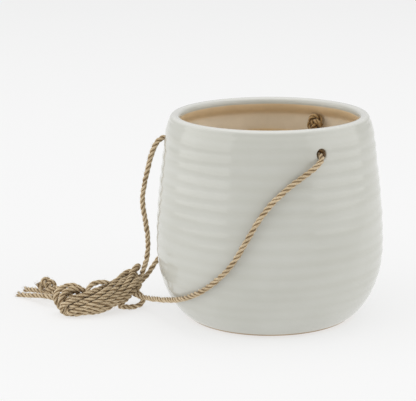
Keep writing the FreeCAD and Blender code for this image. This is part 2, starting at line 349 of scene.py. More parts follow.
def hank_lines():
    """The control points of every rope from its knot to its tail's end."""
    random = np.random.default_rng(7)
    names = list(ROUTES)
    lines = []
    free = []
    bundles = []
    for name in names:
        turns, gathered = hank_turns(name, random)
        route = ROUTES[name]
        tail = TAILS[name]
        lines.append(np.array([*route, *turns, *tail], float))
        held = np.zeros(len(lines[-1]), bool)
        held[len(route) - 1 : len(route) + len(turns) + 1] = True
        free.append(held)
        bundles.append(np.array(gathered) + len(route))
    settle(lines, free, bundles)
    return dict(zip(names, lines))


# ------------ lines


def nurbs_line(name, points):
    """Points read from the smooth NURBS line through a rope's control points, in millimetres."""
    curve = bpy.data.curves.new(name + "_line", "CURVE")
    curve.dimensions = "3D"
    curve.resolution_u = 10
    spline = curve.splines.new("NURBS")
    spline.points.add(len(points) - 1)
    for point, place in zip(spline.points, points):
        point.co = (*(np.asarray(place) * MM), 1.0)
    spline.order_u = 3
    spline.use_endpoint_u = True
    holder = add_object(name + "_line", curve)
    bpy.context.view_layer.update()
    mesh = bpy.data.meshes.new_from_object(holder)
    line = np.array([vertex.co for vertex in mesh.vertices], float) / MM
    bpy.data.objects.remove(holder)
    bpy.data.curves.remove(curve)
    bpy.data.meshes.remove(mesh)
    return line


def even_steps(line, step):
    """The same line at even steps."""
    reach = np.concatenate([[0.0], np.cumsum(np.linalg.norm(np.diff(line, axis=0), axis=1))])
    count = max(int(round(reach[-1] / step)), 2)
    wanted = np.linspace(0.0, reach[-1], count + 1)
    return np.stack([np.interp(wanted, reach, line[:, k]) for k in range(3)], 1), wanted


def carried_frames(line):
    """Two directions across the line at each point, carried along without twist."""
    along = np.gradient(line, axis=0)
    along /= np.linalg.norm(along, axis=1)[:, None]
    across = np.zeros_like(along)
    side = np.cross(along[0], UP if abs(along[0][2]) < 0.9 else np.array([1.0, 0, 0]))
    for k, direction in enumerate(along):
        side = side - direction * side.dot(direction)
        side /= np.linalg.norm(side)
        across[k] = side
    return along, across, np.cross(along, across)


# ------------ rope meshes

STRANDS = 3
STRAND_OFFSET = 1.02
STRAND_RADIUS = 1.16
# The length of one twist, the points round each strand and the steps along it.
LAY = 14.5
AROUND = 9
STEP = 0.65
# How unevenly the strands twist, lie and swell, and how they part and thin where the rope frays.
TURN_NOISE, OFFSET_NOISE, RADIUS_NOISE = 0.20, 0.09, 0.07
FRAY_OFFSET, FRAY_THINNING = 0.55, 0.25
# Each strand's texture starts so far along from the last one's.
STRAND_SHIFT = 40.0
FIBRES_PER_MM, WILD_PER_MM = 0.9, 9
FIBRE_REACH = 4.1
FIBRE_FLOOR = 0.15


class MeshParts:
    """Vertices, faces and texture places gathered for one mesh."""

    def __init__(self):
        """Starts empty."""
        self.vertices = []
        self.faces = []
        self.places = []
        self.count = 0

    def add_tube(self, rings, places, cap=True):
        """A tube through rings, an array of length x around x 3, with a place (u, v) for each ring row."""
        length, sides, _ = rings.shape
        base = self.count
        self.vertices.append(rings.reshape(-1, 3))
        self.count += length * sides
        row = np.arange(length - 1)[:, None] * sides
        column = np.arange(sides)[None, :]
        following = (column + 1) % sides
        quads = np.stack(
            [row + column, row + following, row + sides + following, row + sides + column], -1
        )
        self.faces.extend((quads.reshape(-1, 4) + base).tolist())
        u0 = np.broadcast_to(column / sides, (length - 1, sides))
        u1 = np.broadcast_to((column + 1) / sides, (length - 1, sides))
        v0 = np.broadcast_to(places[:-1, None], (length - 1, sides))
        v1 = np.broadcast_to(places[1:, None], (length - 1, sides))
        corners = ((u0, v0), (u1, v0), (u1, v1), (u0, v1))
        uv = np.stack([np.stack(corner, -1) for corner in corners], 2)
        self.places.append(uv.reshape(-1, 2))
        if cap:
            for ring, flip in ((0, True), (length - 1, False)):
                loop = [base + ring * sides + k for k in range(sides)]
                self.faces.append(loop[::-1] if flip else loop)
                self.places.append(np.tile([[0.5, places[ring]]], (sides, 1)))

    def build(self, name, material):
        """Makes the object."""
        mesh = bpy.data.meshes.new(name)
        vertices = np.concatenate(self.vertices) * MM
        mesh.from_pydata(vertices.tolist(), [], self.faces)
        layer = mesh.uv_layers.new(name="fibre")
        layer.data.foreach_set("uv", np.concatenate(self.places).astype(np.float32).ravel())
        mesh.polygons.foreach_set("use_smooth", [True] * len(mesh.polygons))
        mesh.materials.append(material)
        mesh.update()
        return add_object(name, mesh)


def smooth_noise(random, count, spacing):
    """A gently wandering row of numbers, about one high."""
    knots = random.normal(0.0, 1.0, count // spacing + 3)
    places = np.arange(count) / spacing
    whole = places.astype(int)
    part = places - whole
    part = part * part * (3 - 2 * part)
    return knots[whole] * (1 - part) + knots[whole + 1] * part


def tube_rings(middle, across, over, spin, radius):
    """Rings of points round a line, at the angles spin from its across direction."""
    return (
        middle[:, None, :]
        + across[:, None, :] * (np.cos(spin) * radius[:, None])[..., None]
        + over[:, None, :] * (np.sin(spin) * radius[:, None])[..., None]
    )


def add_strands(parts, line, random, start_turn=0.0, fray=0.0):
    """Three strands twisted round a line. fray is the length at its end where they come loose."""
    centre, reach = even_steps(line, STEP)
    _, across, over = carried_frames(centre)
    angles = np.linspace(0.0, 2 * math.pi, AROUND, endpoint=False)
    count = len(reach)
    loose = np.clip((reach - (reach[-1] - fray)) / fray, 0.0, 1.0) if fray else np.zeros(count)
    for strand in range(STRANDS):
        turn = start_turn + 2 * math.pi * (strand / STRANDS + reach / LAY)
        turn = turn + TURN_NOISE * smooth_noise(random, count, 17)
        offset = STRAND_OFFSET * (1 + OFFSET_NOISE * smooth_noise(random, count, 9))
        offset = offset + FRAY_OFFSET * loose
        radius = STRAND_RADIUS * (1 + RADIUS_NOISE * smooth_noise(random, count, 6))
        radius = radius * (1 - FRAY_THINNING * loose)
        out = across * np.cos(turn)[:, None] + over * np.sin(turn)[:, None]
        middle = centre + out * offset[:, None]
        spin = angles[None, :] + turn[:, None]
        rings = tube_rings(middle, across, over, spin, radius)
        parts.add_tube(rings, reach + STRAND_SHIFT * strand)
    return centre, across, over, reach


def add_fibres(parts, centre, across, over, reach, random, wild_end=0.0):
    """Loose fibres that stand out of the rope's surface."""
    along = np.gradient(centre, axis=0)
    along /= np.linalg.norm(along, axis=1)[:, None]
    total = reach[-1]
    places = list(random.uniform(0.5, total - 0.5, int(total * FIBRES_PER_MM)))
    if wild_end:
        places += list(random.uniform(total - wild_end, total, int(wild_end * WILD_PER_MM)))
    for place in places:
        k = min(int(place / total * (len(reach) - 1)), len(reach) - 2)
        angle = random.uniform(0, 2 * math.pi)
        out = across[k] * math.cos(angle) + over[k] * math.sin(angle)
        side = -across[k] * math.sin(angle) + over[k] * math.cos(angle)
        forward = along[k] * (1 if random.random() < 0.5 or place > total - wild_end else -1)
        length = random.uniform(2.0, 5.5)
        rise = random.uniform(0.1, 0.34)
        sway = random.uniform(-0.6, 0.6)
        thickness = random.uniform(0.045, 0.085)
        steps = np.linspace(0.0, 1.0, 4)
        path = np.array(
            [
                centre[k]
                + out * (ROPE_R * 0.9 + rise * length * t * (1.15 - 0.35 * t))
                + forward * (length * t * 0.8)
                + side * (sway * length * t * t)
                for t in steps
            ]
        )
        nearest = centre[np.argmin(np.linalg.norm(path[:, None] - centre[None], axis=2), axis=1)]
        away = path - nearest
        distance = np.linalg.norm(away, axis=1)[:, None]
        path = nearest + away * np.minimum(1.0, FIBRE_REACH / distance)
        path[:, 2] = np.maximum(path[:, 2], FIBRE_FLOOR)
        _, a, b = carried_frames(path)
        spin = np.linspace(0.0, 2 * math.pi, 3, endpoint=False)
        widths = thickness * (1 - 0.75 * steps)
        rings = tube_rings(path, a, b, spin, widths)
        parts.add_tube(rings, place + steps * length, cap=False)


# ------------ materials

# Jute from its darkest fibres to its palest, by the noise's value, and the painted shade in the gaps
# between strands.
STRAW = [
    (0.28, (0.31, 0.22, 0.12)),
    (0.44, (0.56, 0.44, 0.275)),
    (0.6, (0.75, 0.625, 0.44)),
    (0.8, (0.90, 0.81, 0.65)),
]
STRAW_PATCHES = [(0.3, (0.86, 0.83, 0.78)), (0.7, (1.06, 1.05, 1.04))]
GAP_PAINTED_SHADE = (0.46, 0.38, 0.285)
PLAIN_SHADE = (1.0, 1.0, 1.0)
# Painted shade with a warm bounce, multiplied over the stopper knots' jute because they lie in the pot's
# shade.
STOPPER_PAINTED_SHADE = (0.72, 0.60, 0.42)
GLAZE_CLOUDS = [(0.3, (0.545, 0.547, 0.495)), (0.7, (0.575, 0.577, 0.527))]
# The glaze is paler in the hollows, where it pools, than on the rings' crests.
GLAZE_POOLS = [(0.0, (1.015, 1.015, 1.02)), (1.0, (0.975, 0.973, 0.965))]
GLAZE_GLOSS = (0.10, 0.18)
# The lip's painted highlight: a whiter colour over the top of the lip.
LIP_PAINTED_HIGHLIGHT = (0.72, 0.72, 0.68)
# In metres above the floor: where the lip's painted highlight, a whiter band over its top, begins and is
# full.
LIP_HIGHLIGHT_FROM, LIP_HIGHLIGHT_TO = 0.1595, 0.1619


def new_material(name):
    """A material with one shader in it."""
    material = bpy.data.materials.new(name)
    material.use_nodes = True
    tree = material.node_tree
    tree.nodes.clear()
    output = tree.nodes.new("ShaderNodeOutputMaterial")
    shader = tree.nodes.new("ShaderNodeBsdfPrincipled")
    tree.links.new(shader.outputs[0], output.inputs[0])
    return material, tree, shader


def node(tree, kind, **settings):
    """A new node, with values set on its inputs or on the node itself."""
    made = tree.nodes.new(kind)
    for key, value in settings.items():
        if key in made.inputs:
            made.inputs[key].default_value = value
        else:
            setattr(made, key, value)
    return made


def ramp(tree, source, stops):
    """Colours by a value, eased between their stops."""
    made = tree.nodes.new("ShaderNodeValToRGB")
    made.color_ramp.interpolation = "EASE"
    elements = made.color_ramp.elements
    while len(elements) < len(stops):
        elements.new(0.5)
    for element, (position, colour) in zip(elements, stops):
        element.position = position
        element.color = (*colour, 1.0)
    tree.links.new(source, made.inputs[0])
    return made


def mix(tree, share, first, second, kind="MIX"):
    """Two colours mixed. Each input is a value or another node's output."""
    made = tree.nodes.new("ShaderNodeMix")
    made.data_type = "RGBA"
    made.blend_type = kind
    for number, value in ((0, share), (6, first), (7, second)):
        socket = made.inputs[number]
        if hasattr(value, "links") or isinstance(value, bpy.types.NodeSocket):
            tree.links.new(value, socket)
        else:
            socket.default_value = value if isinstance(value, float) else (*value, 1.0)
    return made.outputs[2]


def noise(tree, place, scale, detail, roughness):
    """Noise in the object's own space."""
    made = node(tree, "ShaderNodeTexNoise", Scale=scale, Detail=detail, Roughness=roughness)
    tree.links.new(place.outputs["Object"], made.inputs["Vector"])
    return made


def add_bump(tree, source, shader, strength, distance):
    """Relief in the shader from a node's value."""
    bump = node(tree, "ShaderNodeBump", Strength=strength, Distance=distance)
    tree.links.new(source.outputs[0], bump.inputs["Height"])
    tree.links.new(bump.outputs[0], shader.inputs["Normal"])


def jute_material(name, painted_shade):
    """Twisted jute: streaks along the fibres, pale and dark patches, and painted shade in the gaps between
    strands.
    """
    material, tree, shader = new_material(name)
    place = node(tree, "ShaderNodeTexCoord")
    stretch = node(tree, "ShaderNodeMapping")
    stretch.inputs["Scale"].default_value = (9.0, 0.45, 1.0)
    tree.links.new(place.outputs["UV"], stretch.inputs["Vector"])
    fibres = node(tree, "ShaderNodeTexNoise", Scale=1.6, Detail=5.0, Roughness=0.62)
    tree.links.new(stretch.outputs[0], fibres.inputs["Vector"])
    patches = noise(tree, place, 95.0, 2.0, 0.5)
    straw = ramp(tree, fibres.outputs[0], STRAW)
    tone = ramp(tree, patches.outputs[0], STRAW_PATCHES)
    colour = mix(tree, 1.0, straw.outputs[0], tone.outputs[0], "MULTIPLY")
    # A strand's outermost line lies at u = 0; a painted shade darkens it toward the gap that it shares
    # with the next.
    round_strand = node(tree, "ShaderNodeSeparateXYZ")
    tree.links.new(place.outputs["UV"], round_strand.inputs[0])
    turn = node(tree, "ShaderNodeMath", operation="MULTIPLY")
    turn.inputs[1].default_value = 2 * math.pi
    tree.links.new(round_strand.outputs["X"], turn.inputs[0])
    outward = node(tree, "ShaderNodeMath", operation="COSINE")
    tree.links.new(turn.outputs[0], outward.inputs[0])
    gap = ramp(tree, outward.outputs[0], [(0.0, GAP_PAINTED_SHADE), (0.75, (1.0, 1.0, 1.0))])
    colour = mix(tree, 1.0, colour, gap.outputs[0], "MULTIPLY")
    # painted_shade multiplies the whole rope's colour: a painted shade, plain white where there is none.
    colour = mix(tree, 1.0, colour, painted_shade, "MULTIPLY")
    tree.links.new(colour, shader.inputs["Base Color"])
    shader.inputs["Roughness"].default_value = 0.88
    shader.inputs["Specular IOR Level"].default_value = 0.25
    shader.inputs["Sheen Weight"].default_value = 0.25
    shader.inputs["Sheen Roughness"].default_value = 0.5
    add_bump(tree, fibres, shader, 0.55, 0.0004)
    return material


def glaze_material():
    """The outside's glossy white glaze, with a painted highlight on the lip's top."""
    material, tree, shader = new_material("white_glaze")
    place = node(tree, "ShaderNodeTexCoord")
    clouds = noise(tree, place, 22.0, 4.0, 0.55)
    base = ramp(tree, clouds.outputs[0], GLAZE_CLOUDS)
    crest = node(tree, "ShaderNodeAttribute", attribute_name="crest")
    pooled = ramp(tree, crest.outputs["Fac"], GLAZE_POOLS)
    colour = mix(tree, 1.0, base.outputs[0], pooled.outputs[0], "MULTIPLY")
    # The painted highlight on the lip's top, faded in by height.
    split = node(tree, "ShaderNodeSeparateXYZ")
    tree.links.new(place.outputs["Object"], split.inputs[0])
    rise = node(tree, "ShaderNodeMapRange")
    rise.inputs["From Min"].default_value = LIP_HIGHLIGHT_FROM
    rise.inputs["From Max"].default_value = LIP_HIGHLIGHT_TO
    tree.links.new(split.outputs["Z"], rise.inputs["Value"])
    lip_highlight = ramp(tree, rise.outputs[0], [(0.0, (0.0, 0.0, 0.0)), (1.0, (1.0, 1.0, 1.0))])
    colour = mix(tree, lip_highlight.outputs[0], colour, LIP_PAINTED_HIGHLIGHT)
    tree.links.new(colour, shader.inputs["Base Color"])
    gloss = node(tree, "ShaderNodeMapRange")
    gloss.inputs["To Min"].default_value = GLAZE_GLOSS[0]
    gloss.inputs["To Max"].default_value = GLAZE_GLOSS[1]
    tree.links.new(clouds.outputs[0], gloss.inputs["Value"])
    tree.links.new(gloss.outputs[0], shader.inputs["Roughness"])
    add_bump(tree, noise(tree, place, 260.0, 3.0, 0.5), shader, 0.25, 0.0003)
    return material


def clay_material():
    """The bare clay of the foot and of the holes' bores, where its dark tone also paints the shade inside
    the holes.
    """
    material, tree, shader = new_material("bare_clay_and_bore_shade")
    place = node(tree, "ShaderNodeTexCoord")
    clouds = noise(tree, place, 30.0, 6.0, 0.6)
    base = ramp(tree, clouds.outputs[0], [(0.3, (0.40, 0.30, 0.20)), (0.7, (0.50, 0.39, 0.27))])
    tree.links.new(base.outputs[0], shader.inputs["Base Color"])
    shader.inputs["Roughness"].default_value = 0.85
    add_bump(tree, noise(tree, place, 900.0, 3.0, 0.6), shader, 0.5, 0.0003)
    return material


def inside_material():
    """The thin, warm glaze inside: the white one runs over the lip and ends above a brown band of painted
    shade under the lip; lower down lies a narrow orange band of painted warm shade.
    """
    material, tree, shader = new_material("inside_glaze")
    place = node(tree, "ShaderNodeTexCoord")
    clouds = noise(tree, place, 30.0, 6.0, 0.6)
    split = node(tree, "ShaderNodeSeparateXYZ")
    tree.links.new(place.outputs["Object"], split.inputs[0])
    waver = node(tree, "ShaderNodeMath", operation="MULTIPLY_ADD")
    waver.inputs[1].default_value = 0.0024
    tree.links.new(clouds.outputs[0], waver.inputs[0])
    tree.links.new(split.outputs["Z"], waver.inputs[2])
    bottom, top = 0.128, 0.162
    rise = node(tree, "ShaderNodeMapRange")
    rise.inputs["From Min"].default_value = bottom
    rise.inputs["From Max"].default_value = top
    tree.links.new(waver.outputs[0], rise.inputs["Value"])
    stops = [(height_of_band - bottom) / (top - bottom) for height_of_band, _ in INSIDE_BANDS]
    bands = ramp(tree, rise.outputs[0], [(stop, colour) for stop, (_, colour) in zip(stops, INSIDE_BANDS)])
    tone = ramp(tree, clouds.outputs[0], [(0.3, (0.92, 0.91, 0.89)), (0.7, (1.05, 1.05, 1.05))])
    colour = mix(tree, 1.0, bands.outputs[0], tone.outputs[0], "MULTIPLY")
    tree.links.new(colour, shader.inputs["Base Color"])
    shader.inputs["Roughness"].default_value = 0.42
    add_bump(tree, noise(tree, place, 900.0, 3.0, 0.6), shader, 0.15, 0.0003)
    return material


GLAZE_WHITE = (0.66, 0.655, 0.605)
INSIDE_TONE = (0.87, 0.77, 0.62)
# Painted shade: a darker brown under the lip's overhang.
UNDER_LIP_PAINTED_SHADE = (0.76, 0.59, 0.38)
# Painted warm shade: a narrow orange band low down, for the light that bounces deep in the pot.
DEEP_PAINTED_WARM_SHADE = (0.84, 0.62, 0.33)
# Heights in metres, from below the lip up to it.
INSIDE_BANDS = [
    (0.1305, INSIDE_TONE),
    (0.1325, DEEP_PAINTED_WARM_SHADE),
    (0.1345, DEEP_PAINTED_WARM_SHADE),
    (0.1368, INSIDE_TONE),
    (0.1455, INSIDE_TONE),
    (0.1530, UNDER_LIP_PAINTED_SHADE),
    (0.1575, UNDER_LIP_PAINTED_SHADE),
    (0.1597, GLAZE_WHITE),
]

JUTE = jute_material("jute_rope", PLAIN_SHADE)
SHADED_STOPPER_JUTE = jute_material("jute_stopper_painted_shade", STOPPER_PAINTED_SHADE)
GLAZE = glaze_material()
INSIDE = inside_material()
CLAY_WITH_BORE_SHADE = clay_material()

# ------------ ropes

LINES = hank_lines()
ROPES = {}
for number, (name, points) in enumerate(LINES.items()):
    line = nurbs_line(name, points)
    random = np.random.default_rng(40 + number)
    parts = MeshParts()
    fray = 0.0 if name == "rope_back" else 5.0
    centre, across, over, reach = add_strands(parts, line, random, number * 1.1, fray)
    add_fibres(parts, centre, across, over, reach, random, wild_end=4.0 if fray else 0.0)
    ROPES[name] = parts.build("jute_" + name, JUTE)

# ------------ knots

# A knot of size one: the radius at which its turns cross, how far they swing, and its tail's length.
KNOT_CROSS = 2.6
KNOT_SWING = 1.65
KNOT_TAIL = 6.5
KNOT_GAP = math.radians(8)
STOPPER_DEPTH = 5.0
STOPPER_SIZE = 1.5
END_KNOT_SIZE = 1.35


def knot_line(centre, axis, tail, entry, turn, size):
    """An overhand knot round a centre: the rope comes in at entry and its tail leaves along tail."""
    axis = np.array(axis, float) / np.linalg.norm(axis)
    first = np.cross(axis, UP if abs(axis[2]) < 0.9 else np.array([1.0, 0, 0]))
    first /= np.linalg.norm(first)
    second = np.cross(axis, first)
    points = [np.array(entry, float)]
    for t in np.linspace(KNOT_GAP, 2 * math.pi - KNOT_GAP, 26):
        radius = (KNOT_CROSS + KNOT_SWING * math.cos(3 * t)) * size
        angle = 2 * t + turn
        height = KNOT_SWING * math.sin(3 * t) * size
        points.append(
            np.array(centre, float)
            + first * radius * math.cos(angle)
            + second * radius * math.sin(angle)
            + axis * height
        )
    last = points[-1]
    way = np.array(tail, float)
    points += [last + way * 3.0, last + way * KNOT_TAIL]
    return points


def make_knot(name, centre, axis, tail, entry, node_name, seed, turn, size, material):
    """One knot of frayed rope, in the place of a CAD node."""
    random = np.random.default_rng(seed)
    line = nurbs_line(name, knot_line(centre, axis, tail, entry, turn, size))
    parts = MeshParts()
    centre_line, across, over, reach = add_strands(parts, line, random, 0.0, 4.0)
    add_fibres(parts, centre_line, across, over, reach, random, wild_end=4.0)
    piece = parts.build(name, material)
    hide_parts(node_name)
    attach(piece, "root")
    return piece


KNOTS = {}
for name, bearing, node_name, turn in (
    ("rope_front", FRONT, "knot_front", 0.4),
    ("rope_left", LEFT, "knot_left", 1.6),
    ("rope_back", BACK, "knot_back", 2.6),
):
    inward = -np.array(around(bearing, 1.0, 0.0))
    middle = np.array(around(bearing, KNOT_FACE - STOPPER_DEPTH, ROPE_HEIGHT))
    entry = np.array(around(bearing, KNOT_FACE, ROPE_HEIGHT))
    tail = inward * 0.75 - UP * 0.45
    # The stopper knots take the jute with painted shade, as they lie in the pot's shade.
    KNOTS[name] = [
        make_knot("stopper_" + node_name, middle, inward, tail, entry,
                  node_name, 60, turn, STOPPER_SIZE, SHADED_STOPPER_JUTE)
    ]
END_LOW, END_HIGH = (np.array(corner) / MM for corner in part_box("end_knot"))
END_MIDDLE = (END_LOW + END_HIGH) / 2 + np.array([-1.5, 0, -1.0])
KNOTS["rope_back"].append(
    make_knot("end_knot_jute", END_MIDDLE, np.array([0.3, -0.8, 0.5]), np.array([-0.5, 0.1, 0.8]),
              TAILS["rope_back"][-1], "end_knot", 71, 0.8, END_KNOT_SIZE, JUTE)
)

for name, piece in ROPES.items():
    nodes = {
        "rope_front": ["rope_front", "tail_front", "rope_hank"],
        "rope_left": ["rope_left", "tail_left"],
        "rope_back": ["rope_back", "tail_back"],
    }[name]
    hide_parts(*nodes)
    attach(piece, "root")

# ------------ the pot

COLUMNS = 300
BELLY, BELLY_HEIGHT = 90.0, 58.0
TUCK_DEPTH, TUCK_SPAN = 38, 61
TAPER_EASE, TAPER_SLOPE = 8, 0.16
WALL = 6.5
POT_HEIGHT = 162.2
LIP_RADIUS, LIP_CENTRE = 4.1, 74.3
SHOULDER = POT_HEIGHT - LIP_RADIUS
DRAW_START, DRAW_POWER = 150.0, 1.6

# The inner wall: thicker toward the floor, straight above UPPER_START, with a root under the lip.
THICK_TOP, THICK_SPAN, THICK_MORE = 40, 22, 2
UPPER_START, UPPER_DRAW = 112, 1.1
LIP_ROOT = 149.0
LIP_ROOT_WALL = 6.0
LIP_ROOT_SOFTNESS = 2.4
LIP_ROOT_BLEND = 6
CORNER_TOP, CORNER_RADIUS = 18, 16
FLOOR_TOP = 9.0

# The underside: a recess, the ring that the pot stands on, and a bevel up to the glaze. (radius, height)
RECESS_HEIGHT = 2.0
RECESS_RADII = (10, 25, 40, 50)
FOOT_RING = ((52.6, 1.9), (53.4, 1.5), (53.8, 0.8), (54.3, 0.25), (55.2, 0.0), (58, 0.0), (61, 0.0))
FOOT_BEVEL = ((62.6, 0.05), (63.6, 0.35))
BEVEL_TOP = 1.5
CLAY_TOP = 2.3
WHITE_BOTTOM = 157.0
OUTER_HEIGHTS = [1.5, 2.0, 2.6, 3.4, 4.4, *np.arange(5.5, 157.0, 1.0), 157.2, 157.8]
INNER_HEIGHTS = [157.8, 157.2, *np.arange(156.5, 133.0, -1.0), *np.arange(131.5, 18.5, -3.0)]

# The throwing rings' heights.
RINGS = (
    18.7, 27.8, 36.5, 43.8, 53.4, 62.7, 72.6, 83.1,
    92.1, 101.7, 110.5, 119.2, 129.5, 138.9, 147.6, 156.3,
)
RING_HEIGHT = 0.42
RING_WIDTH = 3.0
RING_UNEVENNESS = 0.36
RING_WANDER = 0.75
INNER_SHARE = 0.5

# The part of the wall that each hole's rings of faces replace, and the hole's rounded edge.
HOLE_REACH = 8
HOLE_COLUMNS = 5
HOLE_EDGE = 1.1
HOLE_SHARES = (0.35, 0.65, 0.86, 1.0)
HOLE_BENDS = (22, 45, 67, 90)

SLOTS = ("glaze", "inside", "foot")


def plain_wall(height):
    """Radius of the smooth outer wall, were there no lip."""
    rise = np.asarray(height, float) - BELLY_HEIGHT
    below = BELLY - TUCK_DEPTH * (1 - np.sqrt(np.clip(1 - (rise / TUCK_SPAN) ** 2, 0, 1)))
    above = BELLY - (np.hypot(TAPER_EASE, TAPER_SLOPE * rise) - TAPER_EASE)
    return np.where(rise < 0, below, above)


def wall(height):
    """Radius of the smooth outer wall, which draws in to the lip at the top."""
    share = (np.asarray(height, float) - DRAW_START) / (SHOULDER - DRAW_START)
    drawn = np.clip(share, 0, 1) ** DRAW_POWER
    return plain_wall(height) - drawn * (float(plain_wall(SHOULDER)) - LIP_CENTRE - LIP_RADIUS)


def inner_wall(height):
    """Radius of the inner wall: beneath the lip's overhang it keeps the outer wall's slope."""
    height = np.asarray(height, float)
    low = np.clip((THICK_TOP - height) / THICK_SPAN, 0, 1) * THICK_MORE
    root = float(plain_wall(LIP_ROOT)) - LIP_ROOT_WALL
    upper = np.interp(
        height,
        [UPPER_START, LIP_ROOT, SHOULDER],
        [float(plain_wall(UPPER_START)) - WALL, root, root - UPPER_DRAW],
    )
    below = np.where(height > UPPER_START, upper, plain_wall(height) - WALL - low)
    lip = LIP_CENTRE - LIP_RADIUS
    drop = np.clip(SHOULDER - height, 0.0, None)
    lean = math.atan2(root - lip, SHOULDER - LIP_ROOT)
    bend = math.hypot(root - lip, SHOULDER - LIP_ROOT) / (2 * math.sin(lean))
    overhang = lip + bend - np.sqrt(np.clip(bend * bend - drop * drop, 0.0, None))
    share = np.clip(0.5 + 0.5 * (overhang - below) / LIP_ROOT_SOFTNESS, 0.0, 1.0)
    joined = overhang * (1 - share) + below * share - LIP_ROOT_SOFTNESS * share * (1 - share)
    return np.where(height > LIP_ROOT - LIP_ROOT_BLEND, joined, below)


def waves(random, angles, highest):
    """A gentle wave round the pot, about one high."""
    total = np.zeros_like(angles)
    for count in range(1, highest + 1):
        size = random.normal(0, 1) / math.sqrt(count)
        total += size * np.cos(count * angles + random.uniform(0, 2 * math.pi))
    return total / 1.6


class Relief:
    """The soft, uneven throwing rings: how far they stand out at any place on the wall."""

    def __init__(self, seed):
        """Each ring keeps a seed for its height and one for its wander up and down."""
        random = np.random.default_rng(seed)
        self.strength = [random.integers(1 << 30) for _ in RINGS]
        self.wander = [random.integers(1 << 30) for _ in RINGS]

    def __call__(self, angles, heights):
        """The rings' height above the smooth wall. They are weaker low down and fade at both ends."""
        angles, heights = np.broadcast_arrays(np.asarray(angles, float), np.asarray(heights, float))
        total = np.zeros(angles.shape)
        for ring, place in enumerate(RINGS):
            size = RING_HEIGHT * np.interp(place, [10, 45, 60], [0.35, 0.75, 1.0])
            uneven = waves(np.random.default_rng(self.strength[ring]), angles, 7)
            size = size * (1 + RING_UNEVENNESS * uneven)
            shift = RING_WANDER * waves(np.random.default_rng(self.wander[ring]), angles, 5)
            total += size * np.exp(-(((heights - place - shift) / RING_WIDTH) ** 2))
        fade = np.clip((SHOULDER - heights) / 5, 0, 1) * np.clip((heights - 6) / 8, 0, 1)
        return (total - 0.45 * RING_HEIGHT) * fade


RELIEF = Relief(3)
INNER_RELIEF = Relief(9)


def turned(radius, angles, heights):
    """Places round the pot's axis."""
    height = np.broadcast_to(heights, np.shape(radius * np.cos(angles)))
    return np.stack([radius * np.cos(angles), radius * np.sin(angles), height], -1)


def outside(angles, heights):
    """Places on the outer surface."""
    return turned(wall(heights) + RELIEF(angles, heights), angles, heights)


def inside(angles, heights):
    """Places on the inner surface, where the throwing rings are fainter."""
    return turned(inner_wall(heights) - INNER_SHARE * INNER_RELIEF(angles, heights), angles, heights)


class PotMesh:
    """Rows of points round the pot, from its underside over the lip to its floor, and their faces."""

    def __init__(self):
        """Levels say how far each point stands out of the wall, for the glaze's tone."""
        self.points = []
        self.levels = []
        self.count = 0
        self.row_slots = []
        self.faces = []
        self.slots = []

    def add_points(self, points, level):
        """Adds loose points and returns their numbers."""
        self.points.append(points)
        self.levels.append(np.broadcast_to(level, (len(points),)))
        self.count += len(points)
        return list(range(self.count - len(points), self.count))

    def add_row(self, points, slot, level=0.5):
        """Adds a row round the pot. slot is the material between it and the next one."""
        self.row_slots.append(slot)
        self.add_points(points, level)

    def add_face(self, corners, slot):
        """Adds a face of one material."""
        self.faces.append(corners)
        self.slots.append(SLOTS.index(slot))

    def join(self, first, second, slot, flip):
        """A ring of faces between two loops of points."""
        for k in range(len(first)):
            following = (k + 1) % len(first)
            quad = (first[k], first[following], second[following], second[k])
            self.add_face(quad[::-1] if flip else quad, slot)

    def build(self, name):
        """Makes the object."""
        mesh = bpy.data.meshes.new(name)
        mesh.from_pydata((np.concatenate(self.points) * MM).tolist(), [], self.faces)
        mesh.polygons.foreach_set("use_smooth", [True] * len(self.faces))
        for material in (GLAZE, INSIDE, CLAY_WITH_BORE_SHADE):
            mesh.materials.append(material)
        mesh.polygons.foreach_set("material_index", self.slots)
        crest = mesh.attributes.new("crest", "FLOAT", "POINT")
        levels = np.clip(np.concatenate(self.levels), 0, 1.4)
        crest.data.foreach_set("value", levels.astype(np.float32))
        mesh.update()
        return add_object(name, mesh)


def grid(row, column):
    """The number of the point in a row and column."""
    return row * COLUMNS + column % COLUMNS


def add_rows(pot):
    """All rows of the pot. Returns the numbers of the outer and the inner wall's rows by height."""
    angles = np.arange(COLUMNS) * 2 * math.pi / COLUMNS
    for radius in RECESS_RADII:
        pot.add_row(turned(radius, angles, RECESS_HEIGHT), "foot")
    foot = float(wall(BEVEL_TOP))
    for radius, height in (*FOOT_RING, *FOOT_BEVEL, (foot - 0.35, 1.0)):
        pot.add_row(turned(radius, angles, height), "foot")
    outer_rows = {}
    for height in OUTER_HEIGHTS:
        outer_rows[float(height)] = len(pot.row_slots)
        level = 0.5 + RELIEF(angles, height) / RING_HEIGHT
        slot = "foot" if height < CLAY_TOP else "glaze"
        pot.add_row(outside(angles, np.full(COLUMNS, height)), slot, level)
    for turn in np.linspace(6, 174, 13):
        radius = LIP_CENTRE + LIP_RADIUS * math.cos(math.radians(turn))
        height = SHOULDER + LIP_RADIUS * math.sin(math.radians(turn))
        pot.add_row(turned(radius, angles, height), "glaze", 0.75)
    inner_rows = {}
    for height in INNER_HEIGHTS:
        inner_rows[float(height)] = len(pot.row_slots)
        slot = "glaze" if height > WHITE_BOTTOM else "inside"
        pot.add_row(inside(angles, np.full(COLUMNS, height)), slot)
    corner = float(inner_wall(CORNER_TOP))
    for turn in (12, 26, 40, 54, 68, 80):
        radius = corner - CORNER_RADIUS + CORNER_RADIUS * math.cos(math.radians(turn))
        height = CORNER_TOP - (CORNER_TOP - FLOOR_TOP) * math.sin(math.radians(turn))
        pot.add_row(turned(radius, angles, height), "inside")
    for radius in (corner - CORNER_RADIUS - 2, 42, 28, 14):
        pot.add_row(turned(radius, angles, FLOOR_TOP), "inside")
    return outer_rows, inner_rows


